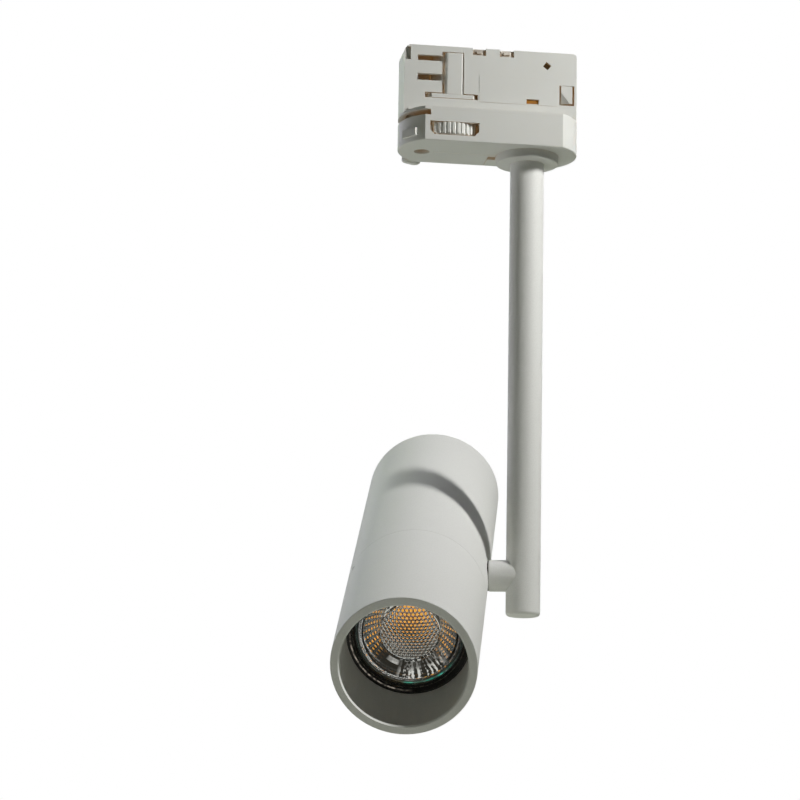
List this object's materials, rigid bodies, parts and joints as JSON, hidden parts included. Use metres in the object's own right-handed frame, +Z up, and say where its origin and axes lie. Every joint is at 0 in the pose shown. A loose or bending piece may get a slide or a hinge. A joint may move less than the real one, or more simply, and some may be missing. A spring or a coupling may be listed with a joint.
{
  "type": "track spotlight",
  "caption": "Spotlight on a drop stem from a three-circuit track adapter; the stem pans, the tube-shaped head tilts on a side stub, and the front tube comes off to change the lamp.",
  "frame": {"origin": "on the stem's axis, in the plane of the adapter's collar that seats against the track", "axes": "+Z up along the stem, +X along the track away from the lock lever, +Y across the track"},
  "size_m": [0.1143, 0.2049, 0.3118],
  "materials": {
    "adapter_plastic": "off-white moulded plastic, fine satin",
    "powder_coat": "off-white fine sand powder coat",
    "copper": "bare copper alloy",
    "nickel": "nickel plated",
    "zinc_steel": "zinc plated",
    "black_plastic": "black heat-proof plastic",
    "ceramic": "unglazed steatite",
    "lamp_shell": "dark lamp shell",
    "optic": "clear moulded optic",
    "light_source": "phosphor-covered light source on a white board",
    "cable_sheath": "white cable sheath",
    "lead_sleeve": "silicone sleeve"
  },
  "bodies": {
    "adapter": {"adapter_base": "adapter_plastic", "track_insert": "adapter_plastic", "detent_spring": "nickel", "earth_contact": "nickel", "earth_strip": "copper", "contact_block": "black_plastic", "terminal_screws": "nickel", "adapter_leads": "lead_sleeve", "swivel_flange": "adapter_plastic", "friction_washer": "black_plastic"},
    "lever": {"lock_lever": "adapter_plastic", "cam_shaft": "adapter_plastic", "live_contact": "copper", "neutral_contact": "copper"},
    "selector": {"selector_dial": "adapter_plastic", "selector_spindle": "black_plastic"},
    "stem": {"stem_tube": "powder_coat", "stem_end_cap": "powder_coat", "stem_nipple": "zinc_steel", "swivel_nut": "zinc_steel", "stop_washer": "zinc_steel", "stem_cable": "cable_sheath", "pivot_stub": "powder_coat", "pivot_bolt": "zinc_steel", "pivot_washer": "black_plastic", "pivot_spring_washer": "nickel", "pivot_nut": "zinc_steel"},
    "head": {"head_body": "powder_coat", "rear_cap": "powder_coat", "lamp_holder": "ceramic", "holder_face": "ceramic", "holder_contacts": "nickel", "holder_bracket": "zinc_steel", "bracket_screws": "zinc_steel", "holder_screws": "zinc_steel", "head_leads": "lead_sleeve"},
    "front": {"front_tube": "powder_coat", "tube_set_screw": "zinc_steel", "lamp_ring": "black_plastic"},
    "lamp": {"lamp_body": "lamp_shell", "lamp_lens": "optic", "led_board": "light_source", "lamp_pins": "nickel"}
  },
  "joints": [
    {"name": "stem_pan", "type": "hinge", "parent": "adapter", "child": "stem", "pos_m": [0, 0, -0.0192], "axis": [0, 0, 1], "range_deg": [-161, 186]},
    {"name": "head_tilt", "type": "hinge", "parent": "stem", "child": "head", "pos_m": [-0.04384, 0.00972, -0.2042], "axis": [-0.9763, 0.2164, 0], "range_deg": [-150, 30]},
    {"name": "lever_turn", "type": "hinge", "parent": "adapter", "child": "lever", "pos_m": [-0.0362, 0, 0], "axis": [0, 0, 1], "range_deg": [0, 90]},
    {"name": "selector_turn", "type": "hinge", "parent": "adapter", "child": "selector", "pos_m": [-0.0362, 0, -0.01], "axis": [0, 0, 1], "range_deg": [0, 270]},
    {"name": "front_tube_off", "type": "slide", "parent": "head", "child": "front", "axis": [-0.1874, -0.8455, -0.5], "range_m": [0, 0.09]},
    {"name": "lamp_twist", "type": "hinge", "parent": "head", "child": "lamp", "pos_m": [-0.04384, 0.00972, -0.2042], "axis": [-0.1874, -0.8455, -0.5], "range_deg": [0, 20]}
  ]
}
